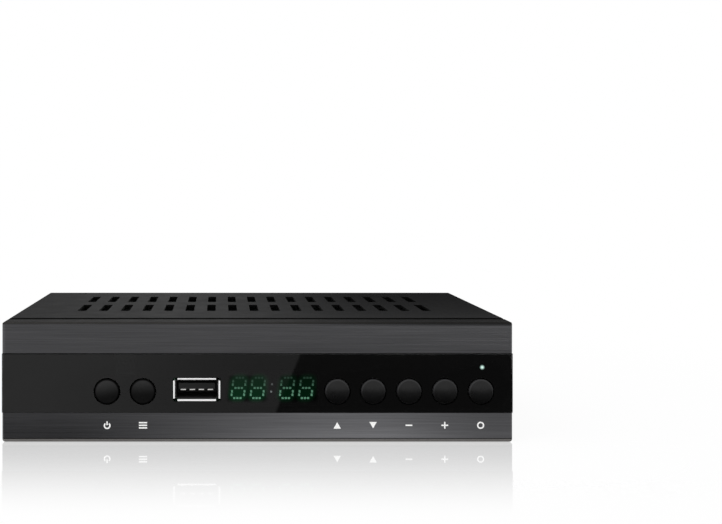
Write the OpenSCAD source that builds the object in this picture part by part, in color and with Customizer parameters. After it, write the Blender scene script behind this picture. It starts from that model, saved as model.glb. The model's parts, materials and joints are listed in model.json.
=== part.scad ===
// Terrestrial television receiver: a low sheet-steel case with a moulded front that carries
// seven push buttons, a USB socket and a clock display behind one smoked lens.
// The floor is z = 0, the front faces -Y, and the origin lies under the middle of the object.
// Depths are measured back from the face of the lens.

/* [Case] */
// Width over the lens panel
case_w = 157; // [142:1:210]
// Height from the floor to the top of the cover
case_h = 36.9; // [35:0.1:48]
// Depth from the lens face to the rear panel
case_d = 96; // [92:1:140]
// Thickness of the sheet steel
sheet_t = 0.8; // [0.6:0.1:1]
// Inside radius of the bends in the cover
bend_r = 0.2; // [0.1:0.1:0.8]
// How far the cover's rear edge stands past the rear panel
cover_overhang = 0.6; // [0.2:0.1:2]
// Height of the upturned edges of the base pan
flange_h = 9; // [8:0.5:12]
// Height of the rubber feet
foot_h = 2.2; // [1.8:0.1:4]
// Diameter of the rubber feet
foot_d = 10; // [6:0.5:14]
// Distance from the case's sides to the middle of the feet
foot_inset = 13; // [10:0.5:20]

/* [Front] */
// Depth of the moulded front
bezel_d = 11; // [11:0.2:16]
// Thickness of the moulded walls
bezel_wall = 1.8; // [1.4:0.1:2.4]
// Radius of the front's upright edges
bezel_edge_r = 1.2; // [0.6:0.1:2]
// Gap between the moulded front and the floor
floor_gap = 0.2; // [0.2:0.1:1]
// Height of the moulded lip below the lower trim
bottom_lip = 0.8; // [0.4:0.1:1.5]
// Height of the moulded rim above the upper trim
top_rim = 0.6; // [0.2:0.1:1]
// Thickness of the lens panel
lens_t = 1.8; // [1.5:0.1:2.4]
// Height of the lens panel
lens_h = 18.1; // [17:0.1:20]
// Height of the lens's lower edge above the floor
lens_z = 9.05; // [8:0.05:9.5]
// How far the lens stands past the front's sides
lens_side = 0.05; // [0.05:0.05:0.5]
// Thickness of the trim strips
trim_t = 1.2; // [0.8:0.1:1.4]
// How far the trims lie behind the lens face
trim_back = 0.4; // [0.2:0.1:0.8]
// Seam round the lens and the trims
seam = 0.05; // [0.05:0.05:0.2]
// Width of the shadow gap before the cover
shadow_gap_w = 3; // [1:0.1:3]
// Depth of the shadow gap before the cover
shadow_gap_d = 0.8; // [0.4:0.1:1]

/* [Buttons] */
// Diameter of the button caps
button_d = 7.6; // [6.5:0.1:8.4]
// Distance from button to button
button_pitch = 11; // [10:0.05:12]
// Height of the button row above the floor
button_z = 15.65; // [14.6:0.05:16]
// How far the caps stand out of the lens
button_proud = 1.2; // [0.8:0.1:2]
// Rise of the domed cap faces
button_dome = 0.4; // [0.2:0.05:0.7]
// Gap between a cap and its hole
button_gap = 0.3; // [0.2:0.05:0.4]
// Travel of a button
button_travel = 0.5; // [0.25:0.05:0.7]
// Distance from the right side to the last button
right_group_edge = 10; // [8.75:0.25:11]

/* [USB socket] */
// Space between the socket's lips and the nearest button's flange
usb_gap = 4.6; // [2:0.1:8]
// Width of the socket's mouth
usb_w = 12.5; // [12:0.1:13]
// Height of the socket's mouth
usb_h = 5.1; // [4.8:0.1:5.4]
// Thickness of the socket's shell
usb_shell_t = 0.35; // [0.25:0.05:0.45]
// How far the flared lips stand out of the shell
usb_lip = 0.6; // [0.5:0.1:1]
// Length of the socket
usb_len = 14; // [13.5:0.5:18]

/* [Display] */
// Space between the display and the nearest button's flange
display_gap = 1.35; // [1:0.05:4]
// Space between the display and the USB socket's lips
display_usb_gap = 2.3; // [1.2:0.1:5]
// Height of the display's middle above the floor
display_z = 16.45; // [15.8:0.05:17]
// Width of the dark module left and right of the digits
display_side = 1.18; // [0.8:0.02:1.6]
// Height of the dark module above and below the digits
display_rim = 1.7; // [0.8:0.1:2]
// Width between the upright segments of a digit
digit_w = 3.84; // [3:0.02:4]
// Height between the top and bottom segments of a digit
digit_h = 6.25; // [5:0.05:7]
// Distance from digit to digit
digit_pitch = 5.9; // [5.6:0.05:6]
// Extra space for the colon
colon_gap = 3.1; // [2.6:0.1:3.4]
// Slant of the digits in degrees
digit_slant = 7; // [0:1:10]

/* [Vents] */
// Width of a vent slot
slot_w = 2.9; // [2:0.1:3.4]
// Length of a vent slot in the top
slot_l = 19.6; // [14:0.2:20]
// Distance from slot to slot
slot_pitch = 7.22; // [6:0.02:8]
// Number of slots in a row on the top
slot_count = 17; // [9:2:17]
// Depth of the front row's near end
slot_front = 31.6; // [26:0.2:34]
// Space between the two rows on the top
slot_row_gap = 9.6; // [7:0.2:10]
// Radius of the slot corners
slot_r = 0.6; // [0.3:0.1:0.9]
// Length of a slot in the sides and the base
side_slot_l = 12; // [8:0.5:14]
// Number of slots in each side
side_slot_count = 8; // [4:1:8]

/* [Boards] */
// Thickness of the circuit boards
board_t = 1.6; // [1.2:0.1:1.8]
// Height of the standoffs under the main board
standoff_h = 8.7; // [7.8:0.05:8.8]
// Diameter of the standoffs
standoff_d = 6; // [5:0.25:7]
// Space between the moulded front's wall and the front board
board_space = 6.4; // [6.2:0.1:7.2]
// Side of a push switch's body
switch_w = 6; // [5:0.5:7]
// Height of a push switch's body
switch_h = 3.5; // [3:0.1:4]
// Diameter of a push switch's plunger
plunger_d = 3.5; // [3:0.1:4]

/* [Rear sockets] */
// How far the rear sockets stand out of the rear panel
jack_len = 9.5; // [8:0.1:12]
// Height of the round sockets' axis above the main board
jack_axis_h = 7; // [7:0.1:8]
// Outside diameter of the loop output's sleeve
loop_d = 9.5; // [9.3:0.05:9.7]
// Bore of the aerial input's sleeve
aerial_bore = 9.6; // [9.4:0.05:10]
// Wall of the aerial sleeves
aerial_wall = 0.6; // [0.4:0.1:0.8]
// Distance between the aerial sockets
aerial_pitch = 17; // [16:0.5:18]
// Distance from the right side to the aerial input
aerial_edge = 18.5; // [18:0.5:22]
// Outside diameter of an audio or video sleeve
av_d = 8.3; // [8.1:0.05:8.5]
// Distance between the audio and video sockets
av_pitch = 14; // [13:0.5:14.5]
// Distance from the left side to the power inlet
inlet_edge = 20.5; // [18:0.5:24]
// Diameter of the power inlet's hole
inlet_bore = 6; // [5.6:0.1:6.4]

/* [Hidden] */
$fn = 48;

// Clearances between pieces
run_fit = 0.05;   // round a plunger, a pipe or a contact
lay_fit = 0.1;    // between sheets that lie against each other
slip_fit = 0.2;   // round a module in its window
eps = 1;          // overrun of a cut past the face that it opens

// The middle of the whole depth, from button domes to socket ends, lies at y = 0
front_y = (button_proud - case_d - jack_len) / 2;

// The moulded front
bezel_w = case_w - 2 * lens_side;
lens_top = lens_z + lens_h;
trim_rear = trim_back + trim_t;
wall_back = lens_t + bezel_wall;
bend_out = sheet_t + bend_r;
cavity_w = bezel_w - 2 * bezel_wall;
cavity_top = case_h - bezel_wall - sheet_t;

// Steel case
cover_front = bezel_d + 2 * lay_fit;
pan_w = bezel_w - 2 * sheet_t - 2 * lay_fit;
pan_top = foot_h + sheet_t;
pan_front = wall_back + slip_fit;
rear_inside = case_d - sheet_t;
rear_top = case_h - sheet_t - lay_fit;

// Cover screws
screw_d = 2.9;
screw_head_d = 5.2;
screw_head_h = 1.4;
screw_l = 6;
cover_screw_up = 0.7;
cover_screw_front = 14;
cover_screw_rear = 16;
bezel_screw_in = 28.5;
bezel_screw_behind = 3.6;
cover_screw_z = foot_h + flange_h / 2 + cover_screw_up;
cover_screw_depths = [bezel_d + cover_screw_front, case_d - cover_screw_rear];
bezel_screw_x = case_w / 2 - bezel_screw_in;
bezel_screw_depth = wall_back + bezel_screw_behind;
bezel_screw_head_h = 0.9;

// Boards
main_bottom = pan_top + standoff_h;
main_top = main_bottom + board_t;
main_side_gap = 4.5;
main_half = case_w / 2 - main_side_gap;
board_front = wall_back + board_space;
board_back = board_front + board_t;
small_head_h = 1.5;
small_head_d = 4.6;
small_screw_d = 2;
board_gap = 0.4;
main_front = board_back + small_head_h + board_gap;

// USB socket, seated on the main board
usb_out_w = usb_w + 2 * usb_shell_t;
usb_out_h = usb_h + 2 * usb_shell_t;
usb_z = main_top + usb_out_h / 2;
usb_mouth = 0.1;
usb_lip_depth = 1.2;
usb_back_t = 4;
usb_tongue_w = usb_w - 1.4;
usb_tongue_t = 1.84;
usb_tongue_front = usb_mouth + 1.2;
contact_pitch = usb_tongue_w / 4;
contact_w = 1.6;
contact_t = 0.35;
usb_lip_w = usb_out_w + 2 * usb_lip;
usb_window_w = usb_lip_w + 2 * slip_fit;
usb_window_h = usb_out_h + 2 * usb_lip + 2 * slip_fit;
usb_window_r = 1;
usb_notch_side = 1.7;
usb_notch_w = usb_out_w + 2 * usb_notch_side;
usb_notch_room = 0.7;

// Display
display_back = 0.5;
display_front = lens_t + display_back;
dot_t = 0.2;
dot_w = 0.55;
dot_gap = 0.3;
colon_left = 0.25;
colon_rise = digit_h / 5.5;
display_w = 3 * digit_pitch + colon_gap + digit_w + dot_w + 2 * display_side;
display_h = digit_h + dot_w + 2 * display_rim;
inner_digit = (digit_pitch + colon_gap) / 2;
digit_x = [-inner_digit - digit_pitch, -inner_digit, inner_digit, inner_digit + digit_pitch];

// The front is laid out from the right side: five buttons, display, USB socket and two buttons
button_flange = 0.9;
button_flange_d = button_d + 2 * button_flange;
right_x = case_w / 2 - right_group_edge;
channel_x = right_x - 4 * button_pitch;
display_x = channel_x - button_flange_d / 2 - display_gap - display_w / 2;
usb_x = display_x - display_w / 2 - display_usb_gap - usb_lip_w / 2;
menu_x = usb_x - usb_lip_w / 2 - usb_gap - button_flange_d / 2;
left_x = menu_x - button_pitch;
button_x = concat([left_x, menu_x], [for (i = [0:4]) channel_x + i * button_pitch]);

// Buttons
button_flange_t = 0.8;
button_stem_d = 3.2;
button_edge = 0.4;
switch_front = board_front - switch_h;
plunger_proud = button_travel + 0.6;
plunger_front = switch_front - plunger_proud;
plunger_depth = 1;
button_hole_r = button_d / 2 + button_gap;

// Indicator and infrared sensor
led_right = 0.4;
led_up = 7.4;
led_x = right_x + led_right;
led_z = button_z + led_up;
pipe_d = 1.5;
pipe_flange_d = 3.2;
led_d = 3;
led_rim = 0.4;
led_rim_h = 1;
led_behind = 1.9;
led_front = wall_back + led_behind;
sensor_up = 8.4;
sensor_x = (left_x + menu_x) / 2;
sensor_z = button_z + sensor_up;
sensor_w = 6;
sensor_h = 7;

// Front board
board_left_end = 12;
board_right_end = 5.75;
board_left = left_x - board_left_end;
board_right = right_x + board_right_end;
front_board_gap = 1.6;
front_board_rise = 2.6;
front_board_z0 = pan_top + front_board_gap;
front_board_z1 = lens_top + front_board_rise;
boss_d = 5;
boss_in = 4;
boss_left_of_last = 6.75;
boss_up = 2.9;
boss_down = 3.4;
boss_x = [board_left + boss_in, right_x - boss_left_of_last];
boss_z = [front_board_z0 + boss_up, front_board_z1 - boss_down];
boss_xz = [for (x = boss_x, z = boss_z) [x, z]];

// Rear sockets
jack_z = main_top + jack_axis_h;
jack_end = case_d + jack_len;
aerial_x = case_w / 2 - aerial_edge;
loop_x = aerial_x - aerial_pitch;
can_side = 7;
can_left = 2.5;
can_gap = 0.6;
can_x0 = loop_x - can_side - can_left;
can_x1 = aerial_x + can_side;
can_rear = rear_inside - can_gap;
can_l = 37;
can_h = 13;
can_wall = 0.6;
can_lid_skirt = 3;
can_lid_hole_d = 3;
aerial_shoulder = 0.4;
aerial_flange = 1.1;
aerial_flange_d = aerial_bore + 2 * aerial_wall + 2 * aerial_flange;
aerial_core_l = 4;
aerial_pin_d = 2.35;
aerial_socket_d = 3.4;
hdmi_x = 16;
hdmi_w = 14;
hdmi_h = 4.55;
hdmi_wall = 0.4;
hdmi_len = 12;
hdmi_proud = 0.6;
hdmi_tongue_side = 1.4;
hdmi_tongue_w = hdmi_w - 2 * hdmi_tongue_side;
hdmi_tongue_t = 1.45;
hdmi_tongue_up = 0.45;
hdmi_tongue_back = 0.8;
hdmi_z = main_top + hdmi_h / 2 + hdmi_wall;
av_first_x = -6;
av_x = [for (i = [0:2]) av_first_x - i * av_pitch];
av_block_l = 13;
av_block_top = 7.5;
av_block_h = jack_axis_h + av_block_top;
av_block_margin = 6.6;
av_wall = 0.45;
av_collar = 0.3;
av_core_back = 0.4;
av_ring = 1.05;
av_ring_d = av_d + 2 * av_ring;
av_ring_proud = 0.8;
av_base_t = 0.6;
av_hole_d = 3.2;
inlet_x = -case_w / 2 + inlet_edge;
inlet_w = 9;
inlet_len = 13.5;
inlet_wall = 1.5;
inlet_h = jack_axis_h + inlet_bore / 2 + inlet_wall;
inlet_pin_back = 1.2;
inlet_pin_d = 2;
inlet_depth = 9.5;

// Main board's edge and screws
main_rear = can_rear;
board_screw_in = 3.3;
board_screw_front = 6.6;
board_screw_can = 6;
board_screw_depths = [main_front + board_screw_front, can_rear - can_l - board_screw_can];
board_screw_xy = [for (s = [-1, 1], d = board_screw_depths) [s * (main_half - board_screw_in), d]];

// Parts on the main board
chip_w = 18;
chip_t = 1.4;
chip_x = -4;
chip_behind = 32;
chip_depth = main_front + chip_behind;
sink_w = 24;
sink_base_t = 2;
sink_h = 10;
sink_fins = 7;
sink_fin_t = 1.2;
memory_w = 12;
memory_l = 8;
memory_t = 1.2;
memory_step = 12;
memory_right = 22;
memory_depths = [chip_depth - memory_step / 2, chip_depth + memory_step / 2];
memory_x = chip_x + memory_right;
flash_w = 5;
flash_l = 6;
flash_t = 1.6;
flash_left = 20;
flash_x = chip_x - flash_left;
crystal_w = 11;
crystal_l = 4.6;
crystal_h = 3.6;
capacitor_d = 8;
capacitor_h = 12;
capacitor_bead = 0.4;
capacitor_step = 12;
capacitor_ahead = 26;
capacitor_xd = [for (i = [-1, 2], j = [0, 1])
    [inlet_x + i * capacitor_step / 3, case_d - capacitor_ahead - j * capacitor_step]];
ribbon_right = 7;
ribbon_x = loop_x + ribbon_right;
ribbon_w = 12;
ribbon_t = 0.9;
ribbon_r = 4;
ribbon_socket_w = 14;
ribbon_socket_t = 5;
ribbon_socket_h = 6;
ribbon_front_z = main_top + ribbon_socket_h + ribbon_r + ribbon_t;
ribbon_front_end = board_back + ribbon_socket_t;
ribbon_straight = 2;
ribbon_main_depth = ribbon_front_end + ribbon_r + ribbon_straight;

// Helpers

// A box between two widths, two depths and two heights
module block(x, d, z)
    translate([x[0], front_y + d[0], z[0]]) cube([x[1] - x[0], d[1] - d[0], z[1] - z[0]]);

// A box that stands on a height, centred on a place
module chip_block(x, d, z, size)
    block([x - size[0] / 2, x + size[0] / 2], [d - size[1] / 2, d + size[1] / 2], [z, z + size[2]]);

// An x-z outline carried back from one depth to another
module swept_back(d0, d1)
    translate([0, front_y + d1, 0]) rotate([90, 0, 0]) linear_extrude(d1 - d0) children();

// A turned piece whose axis runs straight back, with heights along the axis as depths
module turned(x, z) translate([x, front_y, z]) rotate([-90, 0, 0]) children();

// A round bar along the depth
module bar(x, z, d0, d1, d) turned(x, z) translate([0, 0, d0]) cylinder(h = d1 - d0, d = d);

// A round upright
module post(x, d, z0, z1, dia) translate([x, front_y + d, z0]) cylinder(h = z1 - z0, d = dia);

// A flat rectangle with round corners, centred
module soft_rect(w, h, r) {
    square([w - 2 * r, h], center = true);
    square([w, h - 2 * r], center = true);
    for (x = [-1, 1], y = [-1, 1]) translate([x * (w / 2 - r), y * (h / 2 - r)]) circle(r);
}

// An arch outline with round shoulders and square feet
module arch(w, z0, z1, r) {
    translate([-w / 2, z0]) square([w, z1 - z0 - r]);
    translate([-w / 2 + r, z0]) square([w - 2 * r, z1 - z0]);
    for (x = [-1, 1]) translate([x * (w / 2 - r), z1 - r]) circle(r);
}

// A tray outline with round lower corners and a square top
module tray(w, z0, z1, r) translate([0, z0 + z1]) mirror([0, 1]) arch(w, z0, z1, r);

// A slab between two depths whose front upright edges are round
module round_front(w, d0, d1, r, z0, z1)
    translate([0, front_y, z0]) linear_extrude(z1 - z0) {
        translate([-w / 2, d0 + r]) square([w, d1 - d0 - r]);
        translate([-w / 2 + r, d0]) square([w - 2 * r, d1 - d0]);
        for (x = [-1, 1]) translate([x * (w / 2 - r), d0 + r]) circle(r);
    }

// A pan-head screw that points down its own axis, with a cross in its head
module screw(head_d, head_h, shank_d, shank_l) {
    cross_w = shank_d / 4;
    difference() {
        cylinder(h = head_h, d = head_d);
        for (a = [0, 90]) rotate(a)
            translate([-shank_d / 2, -cross_w / 2, head_h / 2]) cube([shank_d, cross_w, head_h]);
    }
    translate([0, 0, -shank_l]) cylinder(h = shank_l, d = shank_d);
}

// Moulded front

// The outside of the moulded front before the lens and the trims are let in
module front_body() intersection() {
    round_front(bezel_w, trim_back, bezel_d, bezel_edge_r, floor_gap, case_h);
    swept_back(0, bezel_d) translate([0, (floor_gap + case_h) / 2])
        soft_rect(bezel_w, case_h - floor_gap, bend_out);
}

// The rebate round the rear edge of the moulded front, on its top and sides
module shadow_gap() swept_back(bezel_d - shadow_gap_w, bezel_d + eps) difference() {
    translate([-case_w, 0]) square([2 * case_w, 2 * case_h]);
    arch(bezel_w - 2 * shadow_gap_d, -eps, case_h - shadow_gap_d, bend_out - shadow_gap_d / 2);
}

// The heights that the two trims cover
lower_trim_z = [floor_gap + bottom_lip, lens_z];
upper_trim_z = [lens_top, case_h - top_rim];

module trim(z) intersection() {
    front_body();
    block([-case_w, case_w], [0, trim_rear], [z[0] + seam, z[1] - seam]);
}

module button_holes(d0, d1) for (x = button_x) bar(x, button_z, d0, d1, 2 * button_hole_r);

module usb_window(d0, d1)
    swept_back(d0, d1) translate([usb_x, usb_z]) soft_rect(usb_window_w, usb_window_h, usb_window_r);

module front_bezel() color("#262524") {
    tab_w = 12;
    tab_l = 6;
    tab_x = [for (i = [-1, 0, 1]) i * (case_w / 2 - 2.5 * tab_w)];
    difference() {
        union() {
            difference() {
                front_body();
                shadow_gap();
                for (z = [lower_trim_z, upper_trim_z]) block([-case_w, case_w], [-eps, trim_rear], z);
                block([-case_w, case_w], [-eps, lens_t], [lens_z, lens_top]);
                block([-cavity_w / 2, cavity_w / 2], [wall_back, bezel_d + eps], [foot_h, cavity_top]);
            }
            for (p = boss_xz) bar(p[0], p[1], wall_back - eps / 2, board_front, boss_d);
            for (x = tab_x) block([x - tab_w / 2, x + tab_w / 2], [bezel_d - tab_l, bezel_d + tab_l],
                                  [cavity_top - bezel_wall / 2, case_h - sheet_t - lay_fit]);
        }
        button_holes(0, wall_back + eps / 2);
        usb_window(0, wall_back + eps);
        swept_back(0, wall_back + eps) translate([display_x, display_z])
            square([display_w + 2 * slip_fit, display_h + 2 * slip_fit], center = true);
        swept_back(0, wall_back + eps) translate([sensor_x, sensor_z])
            square([sensor_w, sensor_h], center = true);
        bar(led_x, led_z, 0, wall_back + eps, pipe_d + 2 * run_fit);
        for (p = boss_xz)
            bar(p[0], p[1], wall_back + eps / 2, board_front + eps, small_screw_d + 2 * run_fit);
        for (s = [-1, 1]) {
            post(s * bezel_screw_x, bezel_screw_depth, -eps, foot_h + eps / 2, screw_d + 2 * lay_fit);
            post(s * bezel_screw_x, bezel_screw_depth, -eps, floor_gap + bezel_screw_head_h,
                 screw_head_d + 2 * slip_fit);
        }
    }
}

module upper_trim() color("#48494b") trim(upper_trim_z);

module lower_trim() color("#58595b") trim(lower_trim_z);

module lens_panel() color("#111111") difference() {
    round_front(case_w, 0, lens_t, lens_t / 2, lens_z + seam, lens_top - seam);
    button_holes(-eps, lens_t + eps);
    usb_window(-eps, lens_t + eps);
    bar(led_x, led_z, -eps, lens_t + eps, pipe_d + 2 * run_fit);
}

// Steel case

module slot_cut(l, depth) translate([0, 0, -depth / 2]) linear_extrude(depth) soft_rect(slot_w, l, slot_r);

module top_slots() for (row = [0, 1], i = [0 : slot_count - 1])
    translate([(i - (slot_count - 1) / 2) * slot_pitch,
               front_y + slot_front + slot_l / 2 + row * (slot_l + slot_row_gap), case_h])
        slot_cut(slot_l, 4 * sheet_t);

side_slot_depth = (cover_front + case_d) / 2;
side_slot_z = case_h - side_slot_l / 2 - 7;

module side_slots() for (s = [-1, 1], i = [0 : side_slot_count - 1])
    translate([s * bezel_w / 2,
               front_y + side_slot_depth + (i - (side_slot_count - 1) / 2) * slot_pitch, side_slot_z])
        rotate([90, 0, 90]) slot_cut(side_slot_l, 4 * sheet_t);

module cover_screw_holes(d) for (s = [-1, 1], depth = cover_screw_depths)
    translate([s * bezel_w / 2, front_y + depth, cover_screw_z]) rotate([0, 90, 0])
        cylinder(h = 8 * sheet_t, d = d, center = true);

module top_cover() color("#2e2e2e") difference() {
    swept_back(cover_front, case_d + cover_overhang) difference() {
        arch(bezel_w, foot_h, case_h, bend_out);
        arch(bezel_w - 2 * sheet_t, foot_h - eps, case_h - sheet_t, bend_r);
    }
    top_slots();
    side_slots();
    cover_screw_holes(screw_d + 2 * slip_fit);
}

base_slot_count = 9;

module base_slots() for (row = [-1, 1], i = [0 : base_slot_count - 1])
    translate([(i - (base_slot_count - 1) / 2) * slot_pitch,
               front_y + side_slot_depth + row * side_slot_l, foot_h])
        slot_cut(side_slot_l, 4 * sheet_t);

module rear_cutouts() {
    d0 = rear_inside - eps;
    d1 = case_d + eps;
    shoulder = 2 * (aerial_shoulder + slip_fit);
    bar(aerial_x, jack_z, d0, d1, aerial_bore + 2 * aerial_wall + shoulder);
    bar(loop_x, jack_z, d0, d1, loop_d + shoulder);
    for (x = av_x) bar(x, jack_z, d0, d1, av_ring_d + 2 * slip_fit);
    swept_back(d0, d1) translate([hdmi_x, hdmi_z])
        soft_rect(hdmi_w + 2 * hdmi_wall + 2 * slip_fit, hdmi_h + 2 * hdmi_wall + 2 * slip_fit, 0.5);
    swept_back(d0, d1) translate([inlet_x, main_top + inlet_h / 2])
        soft_rect(inlet_w + 2 * slip_fit, inlet_h + 2 * slip_fit, 0.5);
}

module base_pan() color("#8d9092") difference() {
    union() {
        swept_back(cover_front, case_d) difference() {
            tray(pan_w, foot_h, foot_h + flange_h, bend_out);
            tray(pan_w - 2 * sheet_t, pan_top, foot_h + flange_h + eps, bend_r);
        }
        block([-cavity_w / 2 + slip_fit, cavity_w / 2 - slip_fit], [pan_front, case_d], [foot_h, pan_top]);
        swept_back(rear_inside, case_d) tray(pan_w, foot_h, rear_top, bend_out);
    }
    base_slots();
    cover_screw_holes(screw_d + 2 * run_fit);
    rear_cutouts();
    for (s = [-1, 1])
        post(s * bezel_screw_x, bezel_screw_depth, foot_h - eps, pan_top + eps, screw_d + 2 * run_fit);
}

module rubber_feet() color("#1a1a1a")
    for (s = [-1, 1], d = [bezel_d + foot_inset, case_d - foot_inset])
        translate([s * (case_w / 2 - foot_inset), front_y + d, 0]) rotate_extrude()
            polygon([
                [0, 0], [foot_d / 2 - foot_h / 4, 0], [foot_d / 2, foot_h / 4],
                [foot_d / 2, foot_h], [0, foot_h]
            ]);

module cover_screws() color("#3a3a3a") for (s = [-1, 1], depth = cover_screw_depths)
    translate([s * bezel_w / 2, front_y + depth, cover_screw_z]) rotate([0, s * 90, 0])
        screw(screw_head_d, screw_head_h, screw_d, screw_l);

module bezel_screws() color("#3a3a3a") for (s = [-1, 1])
    translate([s * bezel_screw_x, front_y + bezel_screw_depth, floor_gap + bezel_screw_head_h])
        rotate([180, 0, 0]) screw(screw_head_d, bezel_screw_head_h - lay_fit, screw_d, foot_h);

// Boards and their fixings

module board_standoffs() color("#b8a46a") for (p = board_screw_xy) difference() {
    post(p[0], p[1], pan_top, main_bottom, standoff_d);
    post(p[0], p[1], pan_top + standoff_h / 4, main_bottom + eps, screw_d + 2 * run_fit);
}

module board_screws() color("#9a9a9a") for (p = board_screw_xy)
    translate([p[0], front_y + p[1], main_top]) screw(screw_head_d, screw_head_h, screw_d, screw_l);

module front_board_screws() color("#9a9a9a") for (p = boss_xz)
    turned(p[0], p[1]) translate([0, 0, board_back])
        screw(small_head_d, small_head_h, small_screw_d, board_space / 2 + board_t);

module main_board() color("#1f5a36") difference() {
    union() {
        block([-main_half, main_half], [main_front, main_rear], [main_bottom, main_top]);
        block([usb_x - usb_out_w / 2 - slip_fit, usb_x + usb_out_w / 2 + slip_fit],
              [wall_back + slip_fit, main_front + eps], [main_bottom, main_top]);
    }
    for (p = board_screw_xy) post(p[0], p[1], main_bottom - eps, main_top + eps, screw_d + 2 * slip_fit);
}

module front_board() color("#1f5a36") difference() {
    block([board_left, board_right], [board_front, board_back], [front_board_z0, front_board_z1]);
    block([usb_x - usb_notch_w / 2, usb_x + usb_notch_w / 2], [board_front - eps, board_back + eps],
          [front_board_z0 - eps, usb_z + usb_out_h / 2 + usb_notch_room]);
    for (p = boss_xz) bar(p[0], p[1], board_front - eps, board_back + eps, small_screw_d + 2 * slip_fit);
}

module tact_switches() color("#202020") for (x = button_x) difference() {
    block([x - switch_w / 2, x + switch_w / 2], [switch_front, board_front],
          [button_z - switch_w / 2, button_z + switch_w / 2]);
    bar(x, button_z, switch_front - eps, switch_front + plunger_depth + button_travel + lay_fit,
        plunger_d + 2 * run_fit);
}

// Buttons

// One turned button: domed cap, retaining flange and the stem that meets the plunger
module button(x) color("#1d1d1d") turned(x, button_z) {
    cap_r = button_d / 2;
    flange_front = wall_back + run_fit;
    dome_r = (cap_r * cap_r + button_dome * button_dome) / (2 * button_dome);
    intersection() {
        rotate_extrude() polygon([
            [0, -button_proud], [cap_r - button_edge, -button_proud],
            [cap_r, button_edge + button_dome - button_proud], [cap_r, flange_front],
            [button_flange_d / 2, flange_front], [button_flange_d / 2, flange_front + button_flange_t],
            [button_stem_d / 2, flange_front + button_flange_t], [button_stem_d / 2, plunger_front],
            [0, plunger_front]
        ]);
        translate([0, 0, dome_r - button_proud]) sphere(dome_r);
    }
}

module plunger(x) color("#d8d2c4")
    bar(x, button_z, plunger_front, switch_front + plunger_depth, plunger_d);

// Display, indicator and sensor

module display_module() color("#151515")
    block([display_x - display_w / 2, display_x + display_w / 2], [display_front, board_front],
          [display_z - display_h / 2, display_z + display_h / 2]);

// One lit dot of the display, l long and dot_w thick, leaning with the digits
module dot(x, z, l, upright) {
    w = upright ? dot_w : l;
    h = upright ? l : dot_w;
    swept_back(display_front - dot_t, display_front)
        translate([x + z * tan(digit_slant), display_z + z]) square([w, h], center = true);
}

module display_segments() color("#35c878") {
    across = digit_w / 4;
    up = digit_h / 6;
    for (dx = digit_x) {
        for (z = [-1, 0, 1], i = [-1, 0, 1])
            dot(display_x + dx + i * across, z * digit_h / 2, across - dot_gap, false);
        for (s = [-1, 1], half = [-1, 1], i = [-1, 1])
            dot(display_x + dx + s * digit_w / 2, half * digit_h / 4 + i * up / 2, up - dot_gap, true);
    }
    for (s = [-1, 1]) dot(display_x - colon_left, s * colon_rise, dot_w, true);
}

module light_pipe() color("#d9f2e6") turned(led_x, led_z) rotate_extrude() polygon([
    [0, 0], [pipe_d / 2, 0], [pipe_d / 2, wall_back], [pipe_flange_d / 2, wall_back],
    [pipe_flange_d / 2, led_front - 4 * lay_fit], [0, led_front - 4 * lay_fit]
]);

module indicator_led() color("#bfeed8") turned(led_x, led_z) {
    translate([0, 0, led_front + led_d / 2]) sphere(d = led_d);
    translate([0, 0, led_front + led_d / 2]) cylinder(h = board_front - led_front - led_d / 2, d = led_d);
    translate([0, 0, board_front - led_rim_h]) cylinder(h = led_rim_h, d = led_d + 2 * led_rim);
}

module infrared_sensor() color("#141016") {
    body_t = 2.6;
    block([sensor_x - sensor_w / 2, sensor_x + sensor_w / 2], [board_front - body_t, board_front],
          [sensor_z - sensor_h / 2, sensor_z + sensor_h / 2]);
    turned(sensor_x, sensor_z) translate([0, 0, board_front - body_t]) sphere(d = sensor_w - 1);
}

// USB socket

module usb_shell() color("#e4e6e8") {
    swept_back(usb_mouth + usb_lip_depth, usb_mouth + usb_len) translate([usb_x, usb_z]) difference() {
        soft_rect(usb_out_w, usb_out_h, 2 * usb_shell_t);
        soft_rect(usb_w, usb_h, usb_shell_t);
    }
    turned(usb_x, usb_z) for (half_turn = [0, 180]) {
        rotate(half_turn) usb_flare(usb_out_h / 2, usb_w - 2 * usb_shell_t);
        rotate(half_turn + 90) usb_flare(usb_out_w / 2, usb_h + usb_shell_t);
    }
}

// One flared lip: it leaves the shell's edge and leans outwards as it comes forward
module usb_flare(out, l)
    translate([-l / 2, out, usb_mouth]) rotate([90, 0, 90]) linear_extrude(l) polygon([
        [-usb_shell_t, usb_lip_depth + usb_shell_t], [0, usb_lip_depth + usb_shell_t], [0, usb_lip_depth],
        [usb_lip, usb_shell_t], [usb_lip, 0], [usb_lip - usb_shell_t, 0],
        [-usb_shell_t, usb_lip_depth - usb_shell_t]
    ]);

module usb_tongue() color("#161616") {
    back = usb_mouth + usb_len;
    swept_back(back - usb_back_t, back) translate([usb_x, usb_z])
        soft_rect(usb_w - 2 * run_fit, usb_h - 2 * run_fit, usb_shell_t);
    block([usb_x - usb_tongue_w / 2, usb_x + usb_tongue_w / 2], [usb_tongue_front, back - usb_back_t],
          [usb_z, usb_z + usb_tongue_t]);
}

module usb_contacts() color("#e9e2c8") for (i = [-1.5 : 1.5])
    block([usb_x + i * contact_pitch - contact_w / 2, usb_x + i * contact_pitch + contact_w / 2],
          [usb_tongue_front + lay_fit, usb_mouth + usb_len - usb_back_t], [usb_z - contact_t, usb_z]);

// Tuner and aerial sockets

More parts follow.
